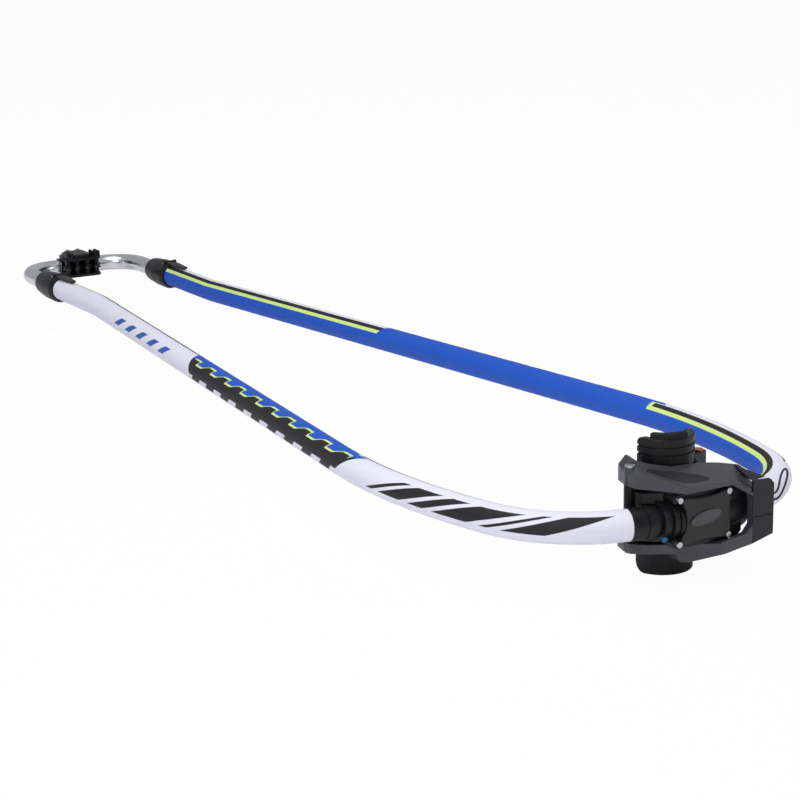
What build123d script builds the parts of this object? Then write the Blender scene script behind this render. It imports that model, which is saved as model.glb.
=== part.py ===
from build123d import *
import os
from math import cos, degrees, radians, sin, tan

# Windsurfing boom (wishbone boom), millimetres. The boom plane is horizontal: +Z is the mast axis,
# +Y runs from the mast to the tail, +X is the starboard arm. The origin is on the mast axis, in the
# plane of the tubes.

# ---- front tube: one bent aluminium tube, symmetric about X = 0 ----
TUBE_RADIUS = 14.5
TUBE_WALL = 1.2
FRONT_HALF = 50.0        # straight part inside the head, each side of the middle
CORNER_RADIUS = 135.0
CORNER_ANGLE = 74.5
BELLY_RADIUS = 700.0
BELLY_ANGLE = 22.0
TAPER_LENGTH = 925.0     # straight run that closes towards the tail
RETURN_RADIUS = 250.0    # bends the arms back until they are parallel
REAR_LENGTH = 175.0      # parallel run that the tail legs slide in
MAST_SETBACK = 48.0      # mast axis behind the front tube's axis

# ---- grips, sleeves and collars on the front tube ----
GRIP_RADIUS = 16.5
GRIP_START = 78.0        # distance along the tube from its front middle
SLEEVE_RADIUS = 17.0
SLEEVE_RIB = 0.9
SLEEVE_RIB_START = 57.5
SLEEVE_RIB_END = 62.0
COLLAR_RADIUS = 21.5
COLLAR_REAR_RADIUS = 18.0
COLLAR_LENGTH = 72.0
COLLAR_COVER = 44.0      # how much of the collar lies over the tube's end
FIT = 0.05               # running clearance on a radius
GAP = 0.3                # clearance between parts that move past each other

# ---- locking clips on the collars ----
CLIP_WIDTH = 15.0
CLIP_REACH = 62.0        # tongue length in front of its pin
CLIP_THICK = 2.6
CLIP_PIN_RADIUS = 1.6
CLIP_KNUCKLE = 3.2
CLIP_PIN_BACK = 14.0     # pin behind the collar's front face
STUD_RADIUS = 2.6
STUD_FORWARD = 9.0
STUD_SWING = 2.2         # room in front of the stud as the clip lifts

# ---- tail extension ----
LEG_RADIUS = 12.7
LEG_WALL = 1.2
LEG_INSIDE = 170.0       # length of each leg inside its arm at rest
LEG_SHOWING = 51.0       # straight silver length between collar and bend
TAIL_BEND = 52.0
TAIL_TRAVEL = 100.0
HOLE_PITCH = 25.0
HOLE_RADIUS = 3.4
BUSH_LENGTH = 18.0
BUSH_FLANGE = 4.0

# ---- tail fitting ----
TAIL_WIDTH = 66.0
TAIL_CORE_WIDTH = 46.0
TAIL_DEPTH = 40.0
TAIL_TOP = 18.0          # upper flange's top above the tubes' plane
TAIL_BOTTOM = -13.0
FLANGE_THICK = 4.0
TAIL_BARREL = 15.2       # round boss that grips the tail tube
SHEAVE_RADIUS = 7.5
SHEAVE_WIDTH = 7.0
SHEAVE_GROOVE = 2.0
SHEAVE_PIN_RADIUS = 2.0
SHEAVE_EDGE = 8.0        # outer sheave's centre from the flange's end
SHEAVE_PITCH = 16.0
CLEAT_LENGTH = 22.0
CLEAT_WIDTH = 11.0
CLEAT_EDGE = 4.0         # cleat's outer side from the flange's end

# ---- mast clamp ----
MAST_RADIUS = 24.0
PAD_THICK = 3.0
SADDLE_WALL = 6.0
SADDLE_TOP = 75.0
SADDLE_FOOT = -70.0
SADDLE_PAD_HEIGHT = 120.0
SADDLE_TOP_CORNER = 7.0
SADDLE_FOOT_CORNER = 14.0
JAW_WALL = 8.0
JAW_HEIGHT = 68.0
JAW_PIN_X = 43.0
JAW_PIN_BACK = 4.0       # jaw pin in front of the mast axis
LUG_HEIGHT = 14.0        # lugs above and below the jaw
PIN_RADIUS = 3.5
KNUCKLE_RADIUS = 8.5

# ---- head body, cover and lever, placed from the front tube's axis ----
LINER_WALL = 2.0
BARREL_RADIUS = 24.5
BARREL_HALF = 48.0
BARREL_STEP = 10.0       # length of the barrel's thinner port end
SHROUD_RADIUS = 23.5     # lip of the barrel over the starboard sleeve
SHROUD_REACH = 8.0
SHROUD_BORE = 18.6
RIM_RADIUS = 26.2
RIM_LEFT = -31.0
RIM_RIGHT = -27.5
BODY_LEFT = -24.0
BODY_RIGHT = 42.0
BODY_TOP = 29.0
BODY_BOTTOM = -27.0
BODY_FRONT = 21.0
BODY_BACK = 19.0
COVER_X = -4.5           # cover's middle
COVER_Z = 2.75
COVER_HALF_WIDTH = 36.0
COVER_HALF_HEIGHT = 28.0
COVER_WAIST = 15.0       # how far its port side is hollowed
COVER_RAISE = 2.0
COVER_SCREW_IN = 5.0     # screws in from the cover's corners
SCREW_RADIUS = 2.0
LEVER_PIN_X = -56.0
LEVER_PIN_Y = 28.0
LEVER_KNUCKLE = 6.5
ARM_INNER = 32.5         # upper arm's lower face above the tubes' plane
ARM_LOW = -28.0          # lower arm's upper face
ARM_FOOT = -38.0
LEVER_TOP = 51.0
HANDLE_INNER = 49.0
HANDLE_OUTER = 80.0
HANDLE_BACK = -29.0
HANDLE_FRONT = -38.0
HANDLE_SKIN = 3.5        # moulded grip over the lever's end
CORD_RADIUS = 1.1

os.makedirs("parts", exist_ok=True)
front_y = -MAST_SETBACK
tube_bore = TUBE_RADIUS - TUBE_WALL
return_angle = CORNER_ANGLE + BELLY_ANGLE - 90.0
head_seat = Pos(0, front_y, 0)

# each bend of one arm: its length along the tube and its signed radius, 0 for a straight run
runs = [
    (FRONT_HALF, 0.0),
    (CORNER_RADIUS * radians(CORNER_ANGLE), CORNER_RADIUS),
    (BELLY_RADIUS * radians(BELLY_ANGLE), BELLY_RADIUS),
    (TAPER_LENGTH, 0.0),
    (RETURN_RADIUS * radians(return_angle), -RETURN_RADIUS),
    (REAR_LENGTH, 0.0),
]
tube_length = sum(length for length, _ in runs)


def walk(x, y, heading, length, radius):
    """Point and heading reached after a run of the tube."""
    if radius == 0.0:
        return x + length * cos(heading), y + length * sin(heading), heading
    turned = heading + length / radius
    x += radius * (sin(turned) - sin(heading))
    y += radius * (cos(heading) - cos(turned))
    return x, y, turned


def arm_edges(start, end):
    """Edges of the starboard arm's centreline between two distances along it."""
    edges = []
    x, y, heading = 0.0, front_y, 0.0
    done = 0.0
    for length, radius in runs:
        low = max(start - done, 0.0)
        high = min(end - done, length)
        if high - low > 1e-6:
            ax, ay, ah = walk(x, y, heading, low, radius)
            bx, by, bh = walk(x, y, heading, high, radius)
            if radius == 0.0:
                edges.append(Line((ax, ay), (bx, by)))
            else:
                edges.append(JernArc((ax, ay), (cos(ah), sin(ah)), abs(radius), degrees(bh - ah)))
        x, y, heading = walk(x, y, heading, length, radius)
        done += length
    return edges


def arm_point(distance):
    """Centre point and heading of the starboard arm at a distance along it."""
    x, y, heading = 0.0, front_y, 0.0
    for length, radius in runs:
        if distance <= length + 1e-6:
            return walk(x, y, heading, distance, radius)
        x, y, heading = walk(x, y, heading, length, radius)
        distance -= length
    raise ValueError("beyond the tube's end")


def pipe(edges, start, heading, outer, inner):
    """A pipe along joined edges, with its section square to the heading at the start."""
    section = Plane(origin=start, x_dir=(-sin(heading), cos(heading), 0), z_dir=(cos(heading), sin(heading), 0))
    ring = section * (Circle(outer) - Circle(inner)) if inner else section * Circle(outer)
    return sweep(ring, path=Wire(edges))


def arm_pipe(start, end, outer, inner):
    x, y, heading = arm_point(start)
    return pipe([e.edge() for e in arm_edges(start, end)], (x, y, 0), heading, outer, inner)


def both_sides(name, solid):
    """Starboard piece and its mirror image for the port arm."""
    save("right_" + name, solid)
    save("left_" + name, mirror(solid, about=Plane.YZ))


def save(name, solid):
    solid.label = name
    export_step(solid, "parts/" + name + ".step")


def disc(radius, low, high):
    """Upright cylinder between two heights."""
    return Pos(0, 0, low) * Cylinder(radius, high - low, align=(Align.CENTER, Align.CENTER, Align.MIN))


def rod_x(radius, low, high):
    """Cylinder along X between two places."""
    return Pos(low, 0, 0) * Rot(0, 90, 0) * Cylinder(radius, high - low, align=(Align.CENTER, Align.CENTER, Align.MIN))


def rod_y(radius, low, high):
    """Cylinder along Y between two places."""
    return Pos(0, low, 0) * Rot(-90, 0, 0) * Cylinder(radius, high - low, align=(Align.CENTER, Align.CENTER, Align.MIN))


def block(x0, x1, y0, y1, z0, z1):
    return Pos((x0 + x1) / 2, (y0 + y1) / 2, (z0 + z1) / 2) * Box(x1 - x0, y1 - y0, z1 - z0)


def slab(points, low, high):
    """Upright slab from an outline in X and Y."""
    return extrude(Pos(0, 0, low) * make_face(Polyline(*points, close=True)), high - low)


def side_slab(points, low, high):
    """Slab along Y from an outline in X and Z."""
    outline = make_face(Plane.XZ * Polyline(*points, close=True))
    return Pos(0, high, 0) * extrude(outline, high - low, dir=(0, -1, 0))


rear_x, rear_y, _ = arm_point(tube_length)
collar_front = rear_y - COLLAR_COVER
collar_rear = collar_front + COLLAR_LENGTH
grip_end = tube_length - COLLAR_COVER
clip_pin_y = collar_front + CLIP_PIN_BACK
clip_pin_z = COLLAR_RADIUS - CLIP_PIN_RADIUS
stud_y = clip_pin_y - STUD_FORWARD
tail_y = collar_rear + LEG_SHOWING + TAIL_BEND


# ---- front tube, with a hole over each leg for the clip's stud ----
starboard = arm_pipe(0.0, tube_length, TUBE_RADIUS, tube_bore)
stud_hole = Pos(rear_x, stud_y, 0) * disc(HOLE_RADIUS, 0, TUBE_RADIUS + 2)
starboard -= stud_hole
save("front_tube", starboard + mirror(starboard, about=Plane.YZ))

# ---- foam grips and the ribbed sleeves between grips and head ----
both_sides("grip", arm_pipe(GRIP_START, grip_end, GRIP_RADIUS, TUBE_RADIUS + FIT))

sleeve_start = BARREL_HALF + 1.5
sleeve = arm_pipe(sleeve_start, GRIP_START - FIT, SLEEVE_RADIUS, TUBE_RADIUS + FIT)
sleeve += arm_pipe(SLEEVE_RIB_START, SLEEVE_RIB_END, SLEEVE_RADIUS + SLEEVE_RIB, SLEEVE_RADIUS - 1.0)
both_sides("sleeve", sleeve)

# ---- collars: clamp the tube's end and guide the leg ----
collar_profile = [
    (0, collar_front), (GRIP_RADIUS + 2.5, collar_front), (COLLAR_RADIUS, collar_front + 8),
    (COLLAR_RADIUS, collar_front + 36), (COLLAR_REAR_RADIUS + 1.5, collar_rear - 12),
    (COLLAR_REAR_RADIUS, collar_rear), (0, collar_rear),
]
collar = revolve(make_face(Polyline(*[(x, y) for x, y in collar_profile], close=True)), Axis.Y)
collar = fillet(collar.edges().filter_by(GeomType.CIRCLE).filter_by(lambda e: e.radius > GRIP_RADIUS), 1.6)
collar -= rod_y(TUBE_RADIUS + FIT, collar_front - 1, rear_y + FIT)
collar -= rod_y(LEG_RADIUS + FIT, rear_y - 1, collar_rear + 1)
seat_low = clip_pin_z - CLIP_THICK / 2 - GAP
collar -= block(-CLIP_WIDTH / 2 - GAP, CLIP_WIDTH / 2 + GAP, collar_front - 1, clip_pin_y + 5.5, seat_low, 40)
collar += Pos(0, 0, clip_pin_z) * (Pos(0, clip_pin_y, 0) * rod_x(3.6, -CLIP_WIDTH / 2 - 4, CLIP_WIDTH / 2 + 4))
collar -= block(-CLIP_WIDTH / 2 - GAP, CLIP_WIDTH / 2 + GAP, collar_front - 1, clip_pin_y + 5.5, seat_low, 40)
collar -= Pos(0, clip_pin_y, clip_pin_z) * rod_x(CLIP_KNUCKLE + GAP, -CLIP_WIDTH / 2 - GAP, CLIP_WIDTH / 2 + GAP)
collar -= Pos(0, clip_pin_y, clip_pin_z) * rod_x(CLIP_PIN_RADIUS, -30, 30)
collar -= block(-HOLE_RADIUS, HOLE_RADIUS, stud_y - HOLE_RADIUS - STUD_SWING, stud_y + HOLE_RADIUS, TUBE_RADIUS - 1, COLLAR_RADIUS + 5)
both_sides("collar", Pos(rear_x, 0, 0) * collar)

clip_pin = Pos(rear_x, clip_pin_y, clip_pin_z) * rod_x(CLIP_PIN_RADIUS, -CLIP_WIDTH / 2 - 4, CLIP_WIDTH / 2 + 4)
both_sides("clip_pin", clip_pin)

# ---- clips: a tongue along the grip, hinged on the collar, with a stud that drops into the tube ----
tongue = slab([
    (-CLIP_WIDTH / 2, clip_pin_y), (-CLIP_WIDTH / 2, collar_front - 8), (-4.0, clip_pin_y - CLIP_REACH),
    (4.0, clip_pin_y - CLIP_REACH), (CLIP_WIDTH / 2, collar_front - 8), (CLIP_WIDTH / 2, clip_pin_y),
], clip_pin_z - CLIP_THICK / 2, clip_pin_z + CLIP_THICK / 2)
tongue = fillet(tongue.edges().filter_by(Axis.Z).group_by(Axis.Y)[0], 3.0)
tongue += Pos(0, clip_pin_y, clip_pin_z) * rod_x(CLIP_KNUCKLE, -CLIP_WIDTH / 2, CLIP_WIDTH / 2)
tongue -= Pos(0, clip_pin_y, clip_pin_z) * rod_x(CLIP_PIN_RADIUS + FIT, -20, 20)
tongue += Pos(0, stud_y, 0) * disc(STUD_RADIUS, LEG_RADIUS + GAP + 0.2, clip_pin_z)
both_sides("clip", Pos(rear_x, 0, 0) * tongue)

# ---- tail tube: a U whose legs slide in the arms ----
leg_start = rear_y - LEG_INSIDE
bend_y = tail_y - TAIL_BEND
u_edges = [
    Line((rear_x, leg_start), (rear_x, bend_y)).edge(),
    JernArc((rear_x, bend_y), (0, 1), TAIL_BEND, 90).edge(),
    Line((rear_x - TAIL_BEND, tail_y), (TAIL_BEND - rear_x, tail_y)).edge(),
    JernArc((TAIL_BEND - rear_x, tail_y), (-1, 0), TAIL_BEND, 90).edge(),
    Line((-rear_x, bend_y), (-rear_x, leg_start)).edge(),
]
tail_tube = pipe(u_edges, (rear_x, leg_start, 0), radians(90), LEG_RADIUS, LEG_RADIUS - LEG_WALL)
for step in range(int(TAIL_TRAVEL / HOLE_PITCH) + 1):
    for side in (-1, 1):
        hole_y = stud_y - step * HOLE_PITCH
        tail_tube -= Pos(side * rear_x, hole_y, 0) * disc(HOLE_RADIUS, 0, LEG_RADIUS + 2)
save("tail_tube", tail_tube)

# ---- nylon bushes on the legs' inner ends ----
bush = rod_y(tube_bore - FIT, leg_start - BUSH_FLANGE, leg_start)
bush += rod_y(LEG_RADIUS - LEG_WALL - FIT, leg_start - BUSH_FLANGE, leg_start + BUSH_LENGTH)
bush -= rod_y(LEG_RADIUS - LEG_WALL - 2.5, leg_start - 30, leg_start + 30)
both_sides("leg_bush", Pos(rear_x, 0, 0) * bush)

# ---- tail fitting: clamped on the U, with a sheave slot each side between two flanges ----
slot_top = TAIL_TOP - FLANGE_THICK
slot_bottom = TAIL_BOTTOM + FLANGE_THICK
sheave_y = -TAIL_DEPTH / 2 - 5.0
half_width = TAIL_WIDTH / 2
half_depth = TAIL_DEPTH / 2
core = block(-TAIL_CORE_WIDTH / 2, TAIL_CORE_WIDTH / 2, -half_depth + 8, half_depth, slot_bottom, slot_top)
core = fillet(core.edges().filter_by(Axis.Z), 7.0)
core += rod_x(TAIL_BARREL, -half_width + 2, half_width - 2)
flange_outline = [
    (-half_width, -half_depth + 2), (-half_width + 3, -half_depth - 11), (-half_width + 8, -half_depth - 14),
    (half_width - 8, -half_depth - 14), (half_width - 3, -half_depth - 11), (half_width, -half_depth + 2),
    (half_width - 9, half_depth - 6), (17, half_depth), (-17, half_depth), (-half_width + 9, half_depth - 6),
]
for low in (slot_top, TAIL_BOTTOM):
    flange = slab(flange_outline, low, low + FLANGE_THICK)
    core += fillet(flange.edges().filter_by(Axis.Z), 2.5)
core -= rod_x(LEG_RADIUS + FIT, -TAIL_WIDTH, TAIL_WIDTH)
sheave_outer = half_width - SHEAVE_EDGE
sheave_places = [-sheave_outer, SHEAVE_PITCH - sheave_outer, sheave_outer - SHEAVE_PITCH, sheave_outer]
for x in sheave_places:
    core -= Pos(x, sheave_y, 0) * disc(SHEAVE_PIN_RADIUS, -40, 40)
screw_places = [(-9, 14), (9, 14)]
for x, y in screw_places:
    core -= Pos(x, y, 0) * disc(SCREW_RADIUS + FIT, TAIL_TOP - 5, 40)
save("tail_fitting", Pos(0, tail_y, 0) * core)

# ---- tail cover: a raised cap on the upper flange between the two cleats ----
cleat_x = half_width - CLEAT_EDGE - CLEAT_WIDTH / 2
cap_half = cleat_x - CLEAT_WIDTH / 2 - 0.5
cap = slab([
    (-cap_half, -20), (-cap_half + 5, -28), (cap_half - 5, -28), (cap_half, -20), (cap_half, 13),
    (cap_half - 4, 18.5), (-cap_half + 4, 18.5), (-cap_half, 13),
], TAIL_TOP, TAIL_TOP + 5)
cap = chamfer(cap.faces().sort_by(Axis.Z)[-1].edges(), 1.6)
for x, y in screw_places:
    cap -= Pos(x, y, 0) * disc(SCREW_RADIUS + FIT, TAIL_TOP - 1, TAIL_TOP + 10)
save("tail_cover", Pos(0, tail_y, 0) * cap)

screws = Part()
for x, y in screw_places:
    screw = disc(SCREW_RADIUS, TAIL_TOP - 4.5, TAIL_TOP + 5) + disc(3.4, TAIL_TOP + 5, TAIL_TOP + 7)
    screws += Pos(x, y, 0) * screw
save("tail_screws", Pos(0, tail_y, 0) * screws)


# ---- cleats: two toothed jaws with a V between them, one cleat each side of the cap ----
def cleat_block():
    half = CLEAT_WIDTH / 2
    base = block(-half, half, -CLEAT_LENGTH / 2, CLEAT_LENGTH / 2, 0, 9)
    base -= side_slab([(-half + 2, 10), (half - 2, 10), (0.8, 2.2), (-0.8, 2.2)], -CLEAT_LENGTH, CLEAT_LENGTH)
    for step in range(6):
        tooth_y = -CLEAT_LENGTH / 2 + 3 + step * 3.0
        base -= Pos(0, tooth_y, 8.2) * Rot(28, 0, 0) * Box(CLEAT_WIDTH - 3.4, 0.9, 7.0)
    return base


cleat_y = -half_depth - 2.0
both_sides("cleat", Pos(cleat_x, tail_y + cleat_y, TAIL_TOP) * cleat_block())

# ---- sheaves and their pins ----
sheave_profile = [
    (SHEAVE_PIN_RADIUS + FIT, -SHEAVE_WIDTH / 2), (SHEAVE_RADIUS, -SHEAVE_WIDTH / 2),
    (SHEAVE_RADIUS - SHEAVE_GROOVE, 0), (SHEAVE_RADIUS, SHEAVE_WIDTH / 2),
    (SHEAVE_PIN_RADIUS + FIT, SHEAVE_WIDTH / 2),
]
slot_middle = (slot_top + slot_bottom) / 2
for number, x in enumerate(sheave_places, start=1):
    sheave = Pos(0, 0, slot_middle) * revolve(make_face(Plane.XZ * Polyline(*sheave_profile, close=True)), Axis.Z)
    hub = disc(SHEAVE_PIN_RADIUS + 2.2, slot_bottom + GAP, slot_top - GAP)
    hub -= disc(SHEAVE_PIN_RADIUS + FIT, slot_bottom - 1, slot_top + 1)
    save("sheave_%d" % number, Pos(x, tail_y + sheave_y, 0) * (sheave + hub))
pins = Part()
for x in sheave_places:
    pins += Pos(x, tail_y + sheave_y, 0) * disc(SHEAVE_PIN_RADIUS, TAIL_BOTTOM - 1, TAIL_TOP)
save("sheave_pins", pins)

# ---- head liner: the split bush that lets the head turn on the tube ----
liner = rod_x(TUBE_RADIUS + FIT + LINER_WALL, -BARREL_HALF + 1, BARREL_HALF - 1)
liner -= rod_x(TUBE_RADIUS + FIT, -BARREL_HALF, BARREL_HALF)
save("head_liner", head_seat * liner)

# ---- head body: barrel round the tube, block behind the cover, lug for the lever ----
shroud_end = BARREL_HALF + SHROUD_REACH
body = side_slab([
    (BODY_LEFT, BODY_BOTTOM), (BODY_RIGHT, BODY_BOTTOM), (shroud_end, -14), (shroud_end, 14),
    (BODY_RIGHT, BODY_TOP), (BODY_LEFT, BODY_TOP),
], -BODY_FRONT, BODY_BACK)
body = fillet(body.edges().filter_by(Axis.Y), 5.0)
body -= block(BARREL_HALF, shroud_end + 1, -40, 40, -40, 40)
barrel = rod_x(BARREL_RADIUS, -BARREL_HALF + BARREL_STEP, BARREL_HALF)
barrel += rod_x(BARREL_RADIUS - 3, -BARREL_HALF, -BARREL_HALF + BARREL_STEP + 1)
barrel += rod_x(RIM_RADIUS, RIM_LEFT, RIM_RIGHT)
barrel += rod_x(SHROUD_RADIUS, BARREL_HALF - 1, shroud_end)
body += barrel & block(-90, 90, -40, BODY_BACK, -40, 40)
lug_top = ARM_INNER - GAP
lug_bottom = ARM_LOW + GAP
body += Pos(LEVER_PIN_X, LEVER_PIN_Y, 0) * disc(LEVER_KNUCKLE, lug_bottom, lug_top)
body += slab([
    (LEVER_PIN_X, LEVER_PIN_Y - LEVER_KNUCKLE), (-39, 6), (BODY_LEFT + 1, 6), (BODY_LEFT + 1, BODY_BACK),
    (-39, BODY_BACK), (LEVER_PIN_X, LEVER_PIN_Y + LEVER_KNUCKLE),
], lug_bottom + 2, lug_top - 6)
body += slab([(-61, 12), (-59, 4), (-40, -6), (BODY_LEFT + 1, -6), (BODY_LEFT + 1, 18), (-39, 18), (-52, 24)], 8, BODY_TOP)
screw_x = COVER_HALF_WIDTH - COVER_SCREW_IN
screw_z = COVER_HALF_HEIGHT - COVER_SCREW_IN
cover_screws_at = [(COVER_X + i * screw_x, COVER_Z + k * screw_z) for i in (-1, 1) for k in (-1, 1)]
for x, z in cover_screws_at[:2]:
    lug = Pos(x, 0, z) * rod_y(COVER_SCREW_IN, -BODY_FRONT, 6)
    lug += block(x, BODY_LEFT + 1, -BODY_FRONT, 6, z - COVER_SCREW_IN, z + COVER_SCREW_IN)
    body += lug & block(-90, 90, -90, 90, -90, BODY_TOP)
body -= rod_x(TUBE_RADIUS + FIT + LINER_WALL, -90, BARREL_HALF)
body -= rod_x(SHROUD_BORE, BARREL_HALF, 90)
body -= rod_x(SHROUD_BORE, -90, -BARREL_HALF)
body -= Pos(LEVER_PIN_X, LEVER_PIN_Y, 0) * disc(PIN_RADIUS, -60, 60)
plug_seat = Pos(-BARREL_HALF + 3, 0, 0) * Rot(135, 0, 0)
plug_foot = BARREL_RADIUS - 6.0
body -= plug_seat * disc(3.0 + FIT, plug_foot, BARREL_RADIUS + 6)
for x, z in cover_screws_at:
    body -= Pos(x, 0, z) * rod_y(SCREW_RADIUS + FIT, -BODY_FRONT - 7, -BODY_FRONT + 9)
saddle_screws_at = [(x, z) for x in (-20.0, 20.0) for z in (-20.0, 23.0)]
for x, z in saddle_screws_at:
    body -= Pos(x, 0, z) * rod_y(SCREW_RADIUS + FIT, BODY_BACK - 9, BODY_BACK + 1)
save("head_body", head_seat * body)

# ---- front cover: a waisted plate held by a screw in each corner, with a blank oval pad ----
wide = COVER_HALF_WIDTH
high = COVER_HALF_HEIGHT
cover_face = make_face([
    ThreePointArc((-wide, high), (0, high - 7), (wide, high)),
    ThreePointArc((wide, high), (wide - 3, 0), (wide, -high)),
    ThreePointArc((wide, -high), (0, -high + 5), (-wide, -high)),
    ThreePointArc((-wide, -high), (-wide + COVER_WAIST, 0), (-wide, high)),
])
cover_face = fillet(cover_face.vertices(), 4.0)
cover_outer = BARREL_RADIUS + FIT + COVER_RAISE
cover = Pos(COVER_X, -BODY_FRONT, COVER_Z) * extrude(Plane.XZ * cover_face, cover_outer - BODY_FRONT)
cover = fillet(cover.faces().sort_by(Axis.Y)[0].edges(), 1.2)
cover -= rod_x(BARREL_RADIUS + FIT, -90, 90)
cover -= rod_x(RIM_RADIUS + FIT, RIM_LEFT - FIT, RIM_RIGHT + FIT)
for x, z in cover_screws_at:
    cover -= Pos(x, 0, z) * rod_y(SCREW_RADIUS + FIT, -60, 0)
save("front_cover", head_seat * cover)

badge = Pos(COVER_X + 2, -cover_outer, COVER_Z) * Rot(0, -9, 0) * extrude(Plane.XZ * Ellipse(19, 7), 1.2)
save("cover_badge", head_seat * badge)

cover_screws = Part()
for x, z in cover_screws_at:
    shank = rod_y(SCREW_RADIUS, -cover_outer, -BODY_FRONT + 8)
    head = rod_y(3.1, -cover_outer - 1.6, -cover_outer)
    cover_screws += Pos(x, 0, z) * (shank + head)
save("cover_screws", head_seat * cover_screws)

# ---- mast saddle: an upright half shell that the mast lies in, with lugs for the jaw pin ----
saddle_bore = MAST_RADIUS + PAD_THICK
saddle_outer = saddle_bore + SADDLE_WALL
saddle_front = BODY_BACK - MAST_SETBACK + FIT
shell_side = block(-60, 60, -60, -GAP, SADDLE_FOOT, SADDLE_TOP)
rear_edges = shell_side.edges().filter_by(Axis.X).group_by(Axis.Y)[-1].sort_by(Axis.Z)
shell_side = fillet(rear_edges[0], SADDLE_FOOT_CORNER)
rear_edges = shell_side.edges().filter_by(Axis.X).group_by(Axis.Y)[-1].sort_by(Axis.Z)
shell_side = fillet(rear_edges[-1], SADDLE_TOP_CORNER)
saddle = disc(saddle_outer, SADDLE_FOOT, SADDLE_TOP)
saddle = fillet(saddle.edges().filter_by(GeomType.CIRCLE), 2.0)
saddle += block(-26, 26, saddle_front, -20, BODY_BOTTOM, BODY_TOP)
saddle &= shell_side
saddle -= block(-60, 60, -60, saddle_front, BODY_BOTTOM - GAP, BODY_TOP + GAP)
lug_low = JAW_HEIGHT / 2 + GAP
jaw_pin_y = -JAW_PIN_BACK
for sign in (-1, 1):
    low, high = sorted((sign * lug_low, sign * (lug_low + LUG_HEIGHT)))
    lug = Pos(JAW_PIN_X, jaw_pin_y, 0) * disc(KNUCKLE_RADIUS, low, high)
    lug += slab([(24, -24), (JAW_PIN_X + 3, jaw_pin_y - 8), (JAW_PIN_X, jaw_pin_y), (30, -GAP), (24, -GAP)], low, high)
    saddle += lug
saddle -= disc(saddle_bore, -100, 100)
saddle -= Pos(JAW_PIN_X, jaw_pin_y, 0) * disc(PIN_RADIUS, -80, 80)
for rib_z in (66.0, 58.0, 44.0):
    saddle -= disc(saddle_outer + 2, rib_z - 1.2, rib_z + 1.2) - disc(saddle_outer - 1.6, -90, 90)
for x, z in saddle_screws_at:
    saddle -= Pos(x, 0, z) * rod_y(SCREW_RADIUS + FIT, saddle_front - 1, 0)
    saddle -= Pos(x, 0, z) * rod_y(4.0, saddle_front + 3.5, 0)
save("mast_saddle", saddle)

saddle_screws = Part()
for x, z in saddle_screws_at:
    shank = rod_y(SCREW_RADIUS, saddle_front - 8, saddle_front + 3.5)
    head = rod_y(3.6, saddle_front + 3.5, saddle_front + 6)
    saddle_screws += Pos(x, 0, z) * (shank + head)
save("saddle_screws", saddle_screws)

pad_half = SADDLE_PAD_HEIGHT / 2
pad = disc(saddle_bore - FIT, -pad_half, pad_half) - disc(MAST_RADIUS, -100, 100)
pad &= block(-60, 60, -60, -GAP - 1.5, -100, 100)
for x, z in saddle_screws_at:
    pad -= Pos(x, 0, z) * rod_y(4.0, -60, 0)
save("saddle_pad", pad)

# ---- rubber stop along the top of the shell's front ----
stop = disc(saddle_outer - 0.5, SADDLE_TOP, SADDLE_TOP + 6) - disc(saddle_bore - 1.0, -100, 100)
stop &= block(-27, 7, -60, -14, 0, 200)
stop = chamfer(stop.faces().sort_by(Axis.Z)[-1].edges(), 1.5)
save("saddle_stop", stop)

# ---- jaw: swings on its pin and closes round the back of the mast ----
jaw_bore = saddle_bore + 1.0
jaw_outer = jaw_bore + JAW_WALL
jaw_half = JAW_HEIGHT / 2
nose_y = -1.0            # lever's noses end here, in front of the jaw's ears
jaw = disc(jaw_outer, -jaw_half, jaw_half)
jaw &= block(-60, 60, GAP, 60, -100, 100)
jaw += slab([(30, GAP), (JAW_PIN_X - 2, jaw_pin_y - 3), (JAW_PIN_X + 8, jaw_pin_y), (34, 16)], -jaw_half, jaw_half)
jaw += Pos(JAW_PIN_X, jaw_pin_y, 0) * disc(KNUCKLE_RADIUS, -jaw_half, jaw_half)
for sign in (-1, 1):
    low, high = sorted((sign * 28.0, sign * 42.0))
    jaw += slab([(-50, GAP), (-30, GAP), (-30, 16), (-43, 9)], low, high)
jaw -= disc(jaw_bore, -100, 100)
jaw -= disc(saddle_outer + GAP, -100, 100) & block(-60, 60, -60, GAP, -100, 100)
jaw -= Pos(JAW_PIN_X, jaw_pin_y, 0) * disc(PIN_RADIUS + FIT, -80, 80)
jaw -= disc(jaw_outer + 2, -2.0, 2.0) - disc(jaw_outer - 2.0, -10, 10)
save("jaw", jaw)

jaw_pad = disc(jaw_bore - FIT, -jaw_half + 3, jaw_half - 3) - disc(MAST_RADIUS, -100, 100)
jaw_pad &= block(-60, 60, GAP + 4, 60, -100, 100)
save("jaw_pad", jaw_pad)

jaw_pin_half = lug_low + LUG_HEIGHT
jaw_pin = disc(PIN_RADIUS, -jaw_pin_half, jaw_pin_half) + disc(5.5, jaw_pin_half, jaw_pin_half + 2)
jaw_pin += disc(5.0, -jaw_pin_half - 1.5, -jaw_pin_half)
save("jaw_pin", Pos(JAW_PIN_X, jaw_pin_y, 0) * jaw_pin)

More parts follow.
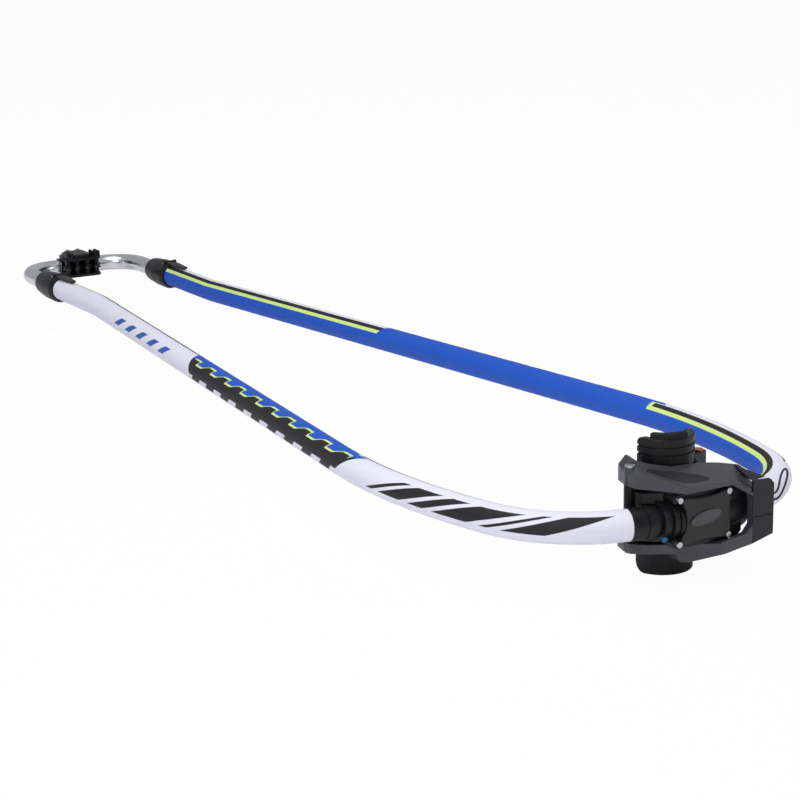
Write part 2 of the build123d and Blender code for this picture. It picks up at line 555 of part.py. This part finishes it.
# ---- lever: two arms above and below the body, joined by an upright handle ----
nose_end = MAST_SETBACK + nose_y
arm_side = LEVER_PIN_X - LEVER_KNUCKLE + 1.0
back = HANDLE_BACK
front = HANDLE_FRONT
outer = HANDLE_OUTER
inner = HANDLE_INNER
upper_plan = [
    (arm_side, LEVER_PIN_Y + 3), (LEVER_PIN_X - 1, nose_end), (LEVER_PIN_X + 10, nose_end), (-45, 34), (-36, 23),
    (-27, 18), (-16, 13), (22, 12.5), (40, 8), (57, 0), (72, -12), (outer - 2, -22), (outer, back + 2),
    (outer, front + 5), (outer - 4, front), (inner, front), (25, -31), (-30, -31), (-46, -8), (arm_side, 12),
]
lower_plan = [
    (arm_side, LEVER_PIN_Y + 3), (LEVER_PIN_X - 1, nose_end), (LEVER_PIN_X + 10, nose_end), (-45, 34), (-40, 27),
    (-10, 8), (20, -9), (38, -22), (outer - 3, back + 2), (outer, back), (outer, front + 5), (outer - 4, front),
    (inner, front), (20, -31), (-12, -12), (-48, 8), (arm_side, 20),
]
whole = slab(upper_plan, -5, 90)
whole += slab(lower_plan, -90, 0)
whole &= side_slab([
    (-90, ARM_FOOT), (-24, ARM_FOOT), (-18, ARM_FOOT - 9), (-10, ARM_FOOT - 9), (39, -34), (outer - 4, -25),
    (outer, -18), (outer, 10), (outer - 3, 27), (71, 34), (60, 39), (50, 60), (-46, 60), (-64, 43), (-90, 41),
], -60, 60)
roof = Plane(origin=(0, 0, 44.9), z_dir=(0.05, -0.22, 1)) * Rectangle(400, 400)
whole &= extrude(roof, -200)
whole -= block(-90, 90, back, 80, ARM_LOW, ARM_INNER)
whole -= side_slab([
    (-90, ARM_LOW), (10, ARM_LOW), (42, -20), (inner, -12), (inner, 19), (27, ARM_INNER), (-90, ARM_INNER),
], -80, 80)
whole += Pos(LEVER_PIN_X, LEVER_PIN_Y, 0) * disc(LEVER_KNUCKLE, ARM_INNER, LEVER_TOP)
whole -= Pos(LEVER_PIN_X, LEVER_PIN_Y, 0) * disc(LEVER_KNUCKLE, LEVER_TOP, 90)
eye = slab([(-50, 10), (-44, 15), (-30, 6), (-18, 0), (0, -9), (8, -19), (2, -24), (-16, -25), (-28, -21), (-42, -3)], 0, 90)
eye = fillet(eye.edges().filter_by(Axis.Z), 2.0)
whole -= eye
whole -= Pos(LEVER_PIN_X, LEVER_PIN_Y, 0) * disc(PIN_RADIUS + FIT, -80, 80)
cord_holes_z = (14.0, 7.5)
for z in cord_holes_z:
    whole -= Pos(0, (front + back) / 2 + 2, z) * rod_x(CORD_RADIUS + FIT, outer - 12, outer + 1)

# the grip is a shell over the end: front wall, outer wall and top
grip_zone = slab([(57, 12), (inner - 0.5, front - 2), (outer + 5, front - 2), (outer + 5, 12)], -60, 60)
grip_zone -= block(0, outer - HANDLE_SKIN, front + HANDLE_SKIN, 60, -60, 34.5)
handle_grip = whole & grip_zone
lever = whole - grip_zone
slope = Plane(origin=(0, 0, 69), z_dir=(0.5026, -0.5926, 1)) * Rectangle(400, 400)
lever &= extrude(slope, -200)
save("lever", head_seat * lever)
groove = block(inner - 1, outer + 1, front - 1, front + 1.0, -4.5, -2.0)
save("handle_grip", head_seat * (handle_grip - groove))

lever_pin = disc(PIN_RADIUS, ARM_FOOT, LEVER_TOP) + disc(5.5, LEVER_TOP, LEVER_TOP + 2)
lever_pin += disc(5.0, ARM_FOOT - 1.5, ARM_FOOT)
save("lever_pin", head_seat * Pos(LEVER_PIN_X, LEVER_PIN_Y, 0) * lever_pin)

# ---- pull cord: a small loop with both ends in the handle's holes ----
cord_points = [
    (69, -31.5, 14), (83, -31.5, 14), (88, -31, 19), (89.5, -30.5, 26), (92, -29.5, 32.5), (97.5, -27, 36.5),
    (104, -24, 35), (107.5, -22, 29), (106, -22, 21.5), (101, -24, 14.5), (93, -28, 9), (84.5, -31.5, 7.5),
    (69, -31.5, 7.5),
]
cord_radii = []
for a, b, c in zip(cord_points, cord_points[1:], cord_points[2:]):
    run_in = Vector(*b) - Vector(*a)
    run_out = Vector(*c) - Vector(*b)
    half_turn = radians(run_in.get_angle(run_out)) / 2
    cord_radii.append(0.45 * min(run_in.length, run_out.length) / tan(half_turn))
cord_line = FilletPolyline(*cord_points, radius=cord_radii)
pull_cord = sweep(Plane(origin=cord_points[0], z_dir=(1, 0, 0)) * Circle(CORD_RADIUS), path=cord_line)
print("cord radii", [round(r, 1) for r in cord_radii], "length", round(cord_line.length, 1))
save("pull_cord", head_seat * pull_cord)

# ---- toothed strap on the body's top, seen through the lever's eye ----
rack = block(-21, 21, -4.5, 4.5, 0, 1.4)
for step in range(11):
    rack += block(-20.4 + step * 3.9, -18.6 + step * 3.9, -4.0, 4.0, 1.0, 2.6)
rack = Pos(-14, -6, BODY_TOP) * Rot(0, 0, -29) * rack
save("toothed_strap", head_seat * rack)

# ---- plug under the barrel ----
plug = plug_seat * disc(3.0, plug_foot, BARREL_RADIUS - 0.4)
save("barrel_plug", head_seat * plug)
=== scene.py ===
import math
import bpy
from mathutils import Matrix, Vector


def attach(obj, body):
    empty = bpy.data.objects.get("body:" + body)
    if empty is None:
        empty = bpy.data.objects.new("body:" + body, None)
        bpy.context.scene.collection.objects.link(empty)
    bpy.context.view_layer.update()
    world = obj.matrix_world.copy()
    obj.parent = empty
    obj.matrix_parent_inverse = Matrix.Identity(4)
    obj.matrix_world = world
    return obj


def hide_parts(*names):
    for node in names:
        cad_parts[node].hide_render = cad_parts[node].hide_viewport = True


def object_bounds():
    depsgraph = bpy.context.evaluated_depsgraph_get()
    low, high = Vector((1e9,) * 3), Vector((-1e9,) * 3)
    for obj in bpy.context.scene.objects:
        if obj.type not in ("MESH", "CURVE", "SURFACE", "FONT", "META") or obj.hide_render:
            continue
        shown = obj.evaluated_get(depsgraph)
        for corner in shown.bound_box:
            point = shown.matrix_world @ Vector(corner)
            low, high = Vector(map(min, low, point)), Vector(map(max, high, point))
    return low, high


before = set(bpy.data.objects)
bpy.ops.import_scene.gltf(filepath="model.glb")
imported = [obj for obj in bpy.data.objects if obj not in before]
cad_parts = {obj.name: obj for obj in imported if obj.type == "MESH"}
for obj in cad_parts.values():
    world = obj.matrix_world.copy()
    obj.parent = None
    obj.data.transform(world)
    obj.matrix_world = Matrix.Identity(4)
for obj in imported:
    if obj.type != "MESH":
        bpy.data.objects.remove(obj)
cad_low, cad_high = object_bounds()
scene = bpy.context.scene

# ---- camera ----
# It stands off the port bow, a little above the boom, and looks down its length.
# The three directions are the camera's own axes: forward, to its right, and up.
camera_at = Vector((-1.28572, -1.64599, 0.65103))
look = Vector((0.492856, 0.832915, -0.251685)).normalized()
side = Vector((0.858332, -0.512834, -0.016340)).normalized()
rise = side.cross(look)
bpy.ops.object.camera_add(location=camera_at)
camera = bpy.context.object
camera.rotation_euler = Matrix((side, rise, -look)).transposed().to_euler()
camera.data.lens = 94.557
camera.data.sensor_width = 36.0
camera.data.clip_end = 60.0
scene.camera = camera
scene.view_settings.view_transform = "Standard"

# ---- light ----
# A white room that lights the boom softly, with three lamps that shape it: one broad lamp
# above, one off the port bow and a weak one to starboard.
scene.world = bpy.data.worlds.new("room")
scene.world.use_nodes = True
room = scene.world.node_tree
room.nodes.clear()
white = room.nodes.new("ShaderNodeBackground")
white.inputs["Color"].default_value = (1, 1, 1, 1)
white.inputs["Strength"].default_value = 1.0
soft = room.nodes.new("ShaderNodeBackground")
soft.inputs["Color"].default_value = (0.93, 0.95, 1.0, 1)
soft.inputs["Strength"].default_value = 0.42
ray = room.nodes.new("ShaderNodeLightPath")
pick = room.nodes.new("ShaderNodeMixShader")
sky = room.nodes.new("ShaderNodeOutputWorld")
room.links.new(ray.outputs["Is Camera Ray"], pick.inputs["Fac"])
room.links.new(soft.outputs["Background"], pick.inputs[1])
room.links.new(white.outputs["Background"], pick.inputs[2])
room.links.new(pick.outputs["Shader"], sky.inputs["Surface"])

lamps = [
    ("above", (-0.5, 0.3, 2.6), (0.0, 0.5, 0.0), 2.0, 46.0),
    ("bow", (-2.4, -1.7, 1.5), (0.0, 0.2, 0.0), 1.0, 30.0),
    ("starboard", (2.2, -1.2, 1.0), (0.0, 0.0, 0.0), 0.9, 8.0),
]
for name, place, aim, width, watts in lamps:
    bpy.ops.object.light_add(type="AREA", location=place)
    lamp = bpy.context.object
    lamp.name = name
    lamp.data.size = width
    lamp.data.energy = watts
    lamp.rotation_euler = (Vector(aim) - Vector(place)).to_track_quat("-Z", "Y").to_euler()


class Value:
    """A shader socket that can be used in arithmetic. Every operation adds one Math node."""

    def __init__(self, tree, socket):
        self.tree = tree
        self.socket = socket

    def op(self, kind, *others):
        node = self.tree.nodes.new("ShaderNodeMath")
        node.operation = kind
        for place, item in enumerate((self,) + others):
            if isinstance(item, Value):
                self.tree.links.new(item.socket, node.inputs[place])
            else:
                node.inputs[place].default_value = item
        return Value(self.tree, node.outputs[0])

    def __add__(self, other):
        return self.op("ADD", other)

    def __radd__(self, other):
        return self.op("ADD", other)

    def __sub__(self, other):
        return self.op("SUBTRACT", other)

    def __rsub__(self, other):
        return (self * -1.0).op("ADD", other)

    def __mul__(self, other):
        return self.op("MULTIPLY", other)

    def __rmul__(self, other):
        return self.op("MULTIPLY", other)

    def __truediv__(self, other):
        return self.op("DIVIDE", other)

    def above(self, other):
        return self.op("GREATER_THAN", other)

    def below(self, other):
        return self.op("LESS_THAN", other)

    def clipped(self):
        return self.op("MAXIMUM", 0.0).op("MINIMUM", 1.0)

    def smooth(self, low, high):
        """0 below low, 1 above high. Either may be a number or a Value."""
        t = ((self - low) / (high - low)).clipped()
        return t * t * (3.0 - 2.0 * t)

    def band(self, low, high, edge):
        """1 between low and high, 0 outside, with edges twice as wide as edge."""
        return self.smooth(low - edge, low + edge) * (1.0 - self.smooth(high - edge, high + edge))


class Finish:
    """One material: its Principled shader, and the nodes that feed it."""

    def __init__(self, name, color, roughness, **constants):
        self.material = bpy.data.materials.new(name)
        self.material.use_nodes = True
        self.tree = self.material.node_tree
        self.shader = self.tree.nodes["Principled BSDF"]
        self.shader.inputs["Base Color"].default_value = (*color, 1)
        self.shader.inputs["Roughness"].default_value = roughness
        for key, value in constants.items():
            self.shader.inputs[key.replace("_", " ")].default_value = value
        self.place = self.node("ShaderNodeTexCoord").outputs["Object"]

    def node(self, kind, links=None, **settings):
        made = self.tree.nodes.new(kind)
        for key, value in settings.items():
            if key in made.inputs:
                made.inputs[key].default_value = value
            else:
                setattr(made, key, value)
        for key, socket in (links or {}).items():
            self.tree.links.new(getattr(socket, "socket", socket), made.inputs[key])
        return made

    def xyz(self):
        parts = self.node("ShaderNodeSeparateXYZ", {"Vector": self.place})
        return [Value(self.tree, parts.outputs[i]) for i in range(3)]

    def noise(self, scale, detail=3.0, stretch=(1, 1, 1)):
        turn = self.node("ShaderNodeMapping", {"Vector": self.place})
        turn.inputs["Scale"].default_value = stretch
        made = self.node("ShaderNodeTexNoise", {"Vector": turn.outputs["Vector"]}, Scale=scale, Detail=detail)
        return Value(self.tree, made.outputs["Fac"])

    def cells(self, scale):
        made = self.node("ShaderNodeTexVoronoi", {"Vector": self.place}, Scale=scale)
        return Value(self.tree, made.outputs["Distance"])

    def mix(self, amount, first, second):
        """A colour between two, each a triple or a socket."""
        made = self.node("ShaderNodeMix", data_type="RGBA")
        self.tree.links.new(amount.socket, made.inputs["Factor"])
        for place, item in ((6, first), (7, second)):
            if isinstance(item, tuple):
                made.inputs[place].default_value = (*item, 1)
            else:
                self.tree.links.new(item, made.inputs[place])
        return made.outputs[2]

    def color(self, socket):
        self.tree.links.new(socket, self.shader.inputs["Base Color"])

    def rough(self, value):
        self.tree.links.new(value.socket, self.shader.inputs["Roughness"])

    def bump(self, height, depth):
        """Surface relief: height is 0 to 1, depth its full height in metres."""
        made = self.node("ShaderNodeBump", {"Height": height}, Distance=depth)
        self.tree.links.new(made.outputs["Normal"], self.shader.inputs["Normal"])

    def wear(self, *nodes):
        for node in nodes:
            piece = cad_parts[node]
            piece.data.materials.clear()
            piece.data.materials.append(self.material)


def moulded(name, color, roughness, grain_size=1600.0, depth=0.00006, shine=0.5):
    """Moulded plastic or rubber: fine spark-eroded grain, faint flow marks and a little dust."""
    made = Finish(name, color, roughness, Specular_IOR_Level=shine)
    fine = made.noise(grain_size, 4.0)
    flow = made.noise(22.0, 3.0, (1.0, 1.0, 2.5))
    dust = made.noise(340.0, 6.0)
    lighter = tuple(min(1.0, c * 1.7 + 0.003) for c in color)
    made.color(made.mix(flow.smooth(0.35, 0.75) * 0.6 + dust.smooth(0.6, 0.8) * 0.3, color, lighter))
    made.rough(roughness - 0.1 + 0.22 * fine + 0.10 * flow)
    made.bump(fine + 0.25 * dust, depth)
    return made


# ---- floor ----
# A white sheet just under the boom, which glows almost as white as the room to the camera
# and keeps a faint shadow.
bpy.ops.mesh.primitive_plane_add(size=24.0, location=(0, 0, cad_low.z - 0.0005))
floor = bpy.context.object
floor.name = "floor"
paper = Finish("white_floor", (0.9, 0.9, 0.9), 0.9)
glow = paper.node("ShaderNodeEmission", Color=(1, 1, 1, 1), Strength=1.0)
seen = Value(paper.tree, paper.node("ShaderNodeLightPath").outputs["Is Camera Ray"]) * 0.95
blank = paper.node("ShaderNodeMixShader", {"Fac": seen})
paper.tree.links.new(paper.shader.outputs["BSDF"], blank.inputs[1])
paper.tree.links.new(glow.outputs["Emission"], blank.inputs[2])
paper.tree.links.new(blank.outputs["Shader"], paper.tree.nodes["Material Output"].inputs["Surface"])
floor.data.materials.append(paper.material)

# ---- tubes ----
# Bare drawn aluminium, polished: long faint drawing lines along the boom, small scuffs and
# uneven shine.
polished = Finish("polished_aluminium", (0.78, 0.785, 0.80), 0.2, Metallic=1.0)
drawn = polished.noise(60.0, 4.0, (1.0, 0.04, 1.0))
scuffs = polished.noise(210.0, 5.0)
polished.rough(0.14 + 0.13 * drawn + 0.06 * scuffs)
polished.color(polished.mix(drawn.smooth(0.3, 0.7), (0.70, 0.705, 0.72), (0.84, 0.845, 0.86)))
polished.bump(drawn + 0.3 * scuffs, 0.00003)
polished.wear("tail_tube", "front_tube")

# ---- grips ----
# Printed foam over each arm. An arm is a corner arc, a belly arc, a straight taper and a
# parallel rear length, and these are its sizes in millimetres.
front_half = 50.0
mast_setback = 48.0
corner_radius = 135.0
belly_radius = 700.0
return_radius = 250.0
taper_length = 925.0
corner_turn = math.radians(74.5)
belly_turn = math.radians(74.5 + 22.0)
return_turn = belly_turn - math.radians(90.0)

# where each length starts, and how far along the arm that is
corner_y = corner_radius - mast_setback
belly_start = corner_y - corner_radius * math.cos(corner_turn)
belly_x = front_half + (corner_radius - belly_radius) * math.sin(corner_turn)
belly_y = corner_y - (corner_radius - belly_radius) * math.cos(corner_turn)
taper_x = belly_x + belly_radius * math.sin(belly_turn)
taper_y = belly_y - belly_radius * math.cos(belly_turn)
return_y = taper_y + taper_length * math.sin(belly_turn)
rear_x = taper_x + taper_length * math.cos(belly_turn) - return_radius * (1.0 - math.cos(return_turn))
rear_y = return_y + return_radius * math.sin(return_turn)
belly_run = front_half + corner_radius * corner_turn
taper_run = belly_run + belly_radius * (belly_turn - corner_turn)
rear_run = taper_run + taper_length + return_radius * return_turn

foam = Finish("printed_foam", (0.8, 0.8, 0.86), 0.62, Specular_IOR_Level=0.35)
x, y, z = foam.xyz()
ax = x.op("ABSOLUTE") * 1000.0
ay = y * 1000.0
az = z * 1000.0
in_belly = ay.above(belly_start)
in_taper = ay.above(taper_y)
in_rear = ay.above((return_y + rear_y) / 2)


def on_arc(middle_x, middle_y, radius, turn_before, run_before):
    """Distance along an arc of the arm, and how far outside the arc a point is."""
    across = ax - middle_x
    back = middle_y - ay
    turned = across.op("ARCTAN2", back) - turn_before
    return run_before + radius * turned, (across * across + back * back).op("SQRT") - radius


def by_length(corner, belly, taper, rear):
    """The value of the length of arm that a point is on."""
    value = corner
    for switch, later in ((in_belly, belly), (in_taper, taper), (in_rear, rear)):
        value = value * (1.0 - switch) + later * switch
    return value


corner_at, corner_off = on_arc(front_half, corner_y, corner_radius, 0.0, front_half)
belly_at, belly_off = on_arc(belly_x, belly_y, belly_radius, corner_turn, belly_run)
past_x = ax - taper_x
past_y = ay - taper_y
taper_at = taper_run + past_x * math.cos(belly_turn) + past_y * math.sin(belly_turn)
taper_off = past_x * math.sin(belly_turn) - past_y * math.cos(belly_turn)

# The print is laid out by run, the distance along the arm, and around, the angle round it:
# 0 degrees is the outer side, 90 the top and 180 the inner side.
run = by_length(corner_at, belly_at, taper_at, ay + (rear_run - rear_y))
off = by_length(corner_off, belly_off, taper_off, ax - rear_x)
angle = az.op("ARCTAN2", off) * (180.0 / math.pi)
around = angle + 360.0 * angle.below(-100.0)
soft_edge = 1.2

# whole length: blue inner side with a lime and a black stripe above it
inner = around.band(145.0, 262.0, soft_edge)
lime = around.band(127.0, 145.0, soft_edge)
black = around.band(103.0, 127.0, soft_edge)

# middle length: the blue comes over the top and meets black in a lime zigzag
middle_start = 435.0
middle_end = 970.0
tooth_length = 55.0
slant = run + 0.41 * (around - 90.0)
end_slant = run - 0.15 * around
starts = slant.smooth(middle_start - 1.0, middle_start + 1.0)
ends = 1.0 - end_slant.smooth(middle_end - 1.0, middle_end + 1.0)
middle = starts * ends
inner_middle = run.smooth(454.0, 456.0) * ends * around.band(98.0, 150.0, soft_edge)
inner_end = run.band(449.0, 455.0, 1.0) * around.band(104.0, 145.0, soft_edge)
tooth = ((slant - middle_start) / tooth_length).op("FRACT")
zigzag = 46.0 + 26.0 * (tooth.smooth(0.08, 0.24) - tooth.smooth(0.55, 0.75))
past_zigzag = around.smooth(zigzag + 4.0, zigzag + 5.5)
to_zigzag = around.smooth(zigzag - 4.5, zigzag - 3.0)
over = past_zigzag * (1.0 - around.smooth(98.0, 99.0))
over_lime = to_zigzag * (1.0 - past_zigzag)
over_black = around.band(-6.0, 34.0, soft_edge) + around.smooth(33.0, 34.0) * (1.0 - to_zigzag)
notches = tooth.band(0.22, 0.74, 0.03) * around.band(-34.0, -5.0, soft_edge)
caps = slant.band(middle_start, middle_start + 8.0, 1.0) + end_slant.band(middle_end - 8.0, middle_end, 1.0)

# front length: slanted black bars of uneven width on the outer side, fewer to starboard
front_bars = [(128.0, 172.0), (186.0, 196.0), (212.0, 262.0), (276.0, 300.0), (314.0, 352.0), (364.0, 376.0)]
first_starboard_bar = 205.0
front_slant = run + 0.9 * (around - 20.0)
front = around * 0.0
for bar_start, bar_end in front_bars:
    front = front + front_slant.band(bar_start, bar_end, 1.0)
front = front * around.band(-14.0, 58.0, soft_edge)
front = front * (1.0 - x.above(0.0) * front_slant.below(first_starboard_bar))

# rear length: a row of slanted blue dashes on the outer side
rear_slant = run + 0.6 * (around - 30.0)
dashes = ((rear_slant - 1056.0) / 50.0).op("FRACT").band(0.16, 0.60, 0.02)
dashes = dashes * rear_slant.band(1056.0, 1306.0, 1.0) * around.band(2.0, 44.0, soft_edge)

blue_foam = (0.008, 0.085, 0.50)
lime_foam = (0.62, 0.80, 0.22)
black_foam = (0.012, 0.011, 0.014)
layers = [
    (inner, blue_foam),
    (lime, lime_foam),
    (black, black_foam),
    (front, black_foam),
    (dashes, (0.03, 0.10, 0.40)),
    (inner_middle, blue_foam),
    (inner_end, lime_foam),
    (middle * over, blue_foam),
    (middle * over_lime, lime_foam),
    (middle * (over_black + notches).op("MINIMUM", 1.0), black_foam),
    (middle * around.band(-8.0, 70.0, soft_edge) * caps.op("MINIMUM", 1.0), black_foam),
]
paint = (0.75, 0.74, 0.84)
for amount, ink in layers:
    paint = foam.mix(amount, paint, ink)

# the foam itself: fine grain, open pores and one glued seam along the underside
grain = foam.noise(900.0, 4.0)
pores = foam.cells(1400.0)
patches = foam.noise(9.0, 3.0)
seam = around.band(268.5, 270.5, 0.4) + around.band(-91.5, -89.5, 0.4)
tint = foam.node("ShaderNodeHueSaturation", {"Color": paint, "Value": 0.94 + 0.10 * patches - 0.5 * seam})
foam.color(tint.outputs["Color"])
foam.rough(0.50 + 0.20 * grain + 0.08 * patches)
foam.bump(0.5 * grain + 0.6 * pores - 2.0 * seam, 0.00012)
foam.wear("left_grip", "right_grip")

# ---- sleeves, collars and clips ----
# Black nylon, moulded with a fine grain. The clips turn on plated steel pins, and the bushes
# inside the arms are of the same nylon.
nylon = moulded("black_nylon", (0.003, 0.003, 0.004), 0.32, shine=0.3)
nylon.wear("left_sleeve", "right_sleeve", "left_collar", "right_collar", "left_clip", "right_clip")
nylon.wear("left_leg_bush", "right_leg_bush")
steel = Finish("plated_steel", (0.50, 0.50, 0.51), 0.3, Metallic=1.0)
brushed = steel.noise(700.0, 5.0)
steel.rough(0.2 + 0.25 * brushed)
steel.bump(brushed, 0.00003)
steel.wear("left_clip_pin", "right_clip_pin")

# ---- tail fitting, cleats and sheaves ----
# All of the same black nylon, held by plated screws and pins.
nylon.wear("tail_fitting", "tail_cover", "left_cleat", "right_cleat")
nylon.wear("sheave_1", "sheave_2", "sheave_3", "sheave_4")
steel.wear("tail_screws", "sheave_pins")

# ---- head body, cover and strap ----
# The body is black nylon and its cover a satin one with a bare oval badge, which is painted lighter: a
# painted highlight for its bright rim. The rubber liner grips the tube, and the strap's teeth are painted
# lighter than the nylon: a painted highlight.
rubber = moulded("black_rubber", (0.003, 0.003, 0.0035), 0.6, 1100.0, 0.0001, 0.3)
rubber.wear("head_liner")
nylon.wear("head_body")
# the strap's lighter colour is a painted highlight for the glints on its teeth
ratchet = moulded("strap_painted_highlight", (0.10, 0.10, 0.095), 0.22)
ratchet.wear("toothed_strap")
satin = moulded("satin_nylon", (0.006, 0.006, 0.007), 0.28, shine=0.4)
satin.wear("front_cover")
# the badge's lighter colour is a painted highlight for the shine on its raised rim
badge = moulded("badge_painted_highlight", (0.035, 0.035, 0.038), 0.22)
badge.wear("cover_badge")
steel.wear("cover_screws")
blue = moulded("blue_plug", (0.01, 0.12, 0.28), 0.35)
blue.wear("barrel_plug")

# ---- saddle and jaw ----
# Black nylon shells with rubber where they meet the mast. The jaw's pin has a dulled copper
# plating.
nylon.wear("mast_saddle", "jaw")
rubber.wear("saddle_pad", "saddle_stop", "jaw_pad")
steel.wear("saddle_screws")
copper = Finish("copper_plate", (0.60, 0.20, 0.08), 0.3, Metallic=1.0)
tarnish = copper.noise(300.0, 5.0)
copper.color(copper.mix(tarnish.smooth(0.4, 0.7), (0.66, 0.24, 0.10), (0.36, 0.12, 0.06)))
copper.rough(0.22 + 0.3 * tarnish)
copper.bump(tarnish, 0.00003)
copper.wear("jaw_pin")

# ---- clamp lever ----
# Grey nylon with a softer black grip moulded over its end. A small web, which lies along the
# sloping facet, closes the corner between the upper arm and the handle.
grey = moulded("grey_nylon", (0.036, 0.036, 0.045), 0.28)
grey.wear("lever")
steel.wear("lever_pin")
overmould = moulded("grip_rubber", (0.007, 0.006, 0.008), 0.45, 1300.0, 0.00008, 0.4)
overmould.wear("handle_grip")

facet_normal = Vector((0.5026, -0.5926, 1.0))
for item in bpy.context.selected_objects:
    item.select_set(False)
bpy.ops.mesh.primitive_cube_add(size=1.0, location=(0.0555, -0.0690, 0.0270))
web = bpy.context.object
web.name = "lever_web"
web.scale = (0.015, 0.030, 0.0045)
web.rotation_euler = facet_normal.to_track_quat("Z", "Y").to_euler()
bpy.ops.object.transform_apply(location=True, rotation=True, scale=True)
softened = web.modifiers.new("edges", "BEVEL")
softened.width = 0.0006
softened.segments = 2
bpy.ops.object.modifier_apply(modifier=softened.name)
web.data.materials.append(grey.material)
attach(web, "lever")

# ---- pull cord ----
# A braided loop through two holes in the lever's end. It follows the same points as the CAD
# cord, in metres, as one smooth curve.
cord_diameter = 0.0022
cord_points = [
    (0.069, -0.0795, 0.014), (0.083, -0.0795, 0.014), (0.088, -0.079, 0.019), (0.0895, -0.0785, 0.026),
    (0.092, -0.0775, 0.0325), (0.0975, -0.075, 0.0365), (0.104, -0.072, 0.035), (0.1075, -0.070, 0.029),
    (0.106, -0.070, 0.0215), (0.101, -0.072, 0.0145), (0.093, -0.076, 0.009), (0.0845, -0.0795, 0.0075),
    (0.069, -0.0795, 0.0075),
]
cord_curve = bpy.data.curves.new("pull_cord_line", "CURVE")
cord_curve.dimensions = "3D"
spline = cord_curve.splines.new("NURBS")
spline.points.add(len(cord_points) - 1)
for point, place in zip(spline.points, cord_points):
    point.co = (*place, 1.0)
spline.order_u = 3
spline.use_endpoint_u = True
spline.resolution_u = 16
cord_curve.bevel_depth = cord_diameter / 2
cord_curve.bevel_resolution = 6
braided = bpy.data.objects.new("braided_pull_cord", cord_curve)
scene.collection.objects.link(braided)
braid = Finish("braid", (0.012, 0.012, 0.014), 0.72)
weave = braid.node(
    "ShaderNodeTexWave", {"Vector": braid.place}, Scale=420.0, Distortion=3.0, bands_direction="DIAGONAL"
)
threads = Value(braid.tree, weave.outputs["Fac"])
fuzz = braid.noise(2600.0, 3.0)
braid.color(braid.mix(threads * 0.7 + fuzz * 0.3, (0.006, 0.006, 0.007), (0.035, 0.034, 0.038)))
braid.rough(0.6 + 0.25 * fuzz)
braid.bump(threads + 0.3 * fuzz, 0.00015)
braided.data.materials.append(braid.material)
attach(braided, "lever")
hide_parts("pull_cord")
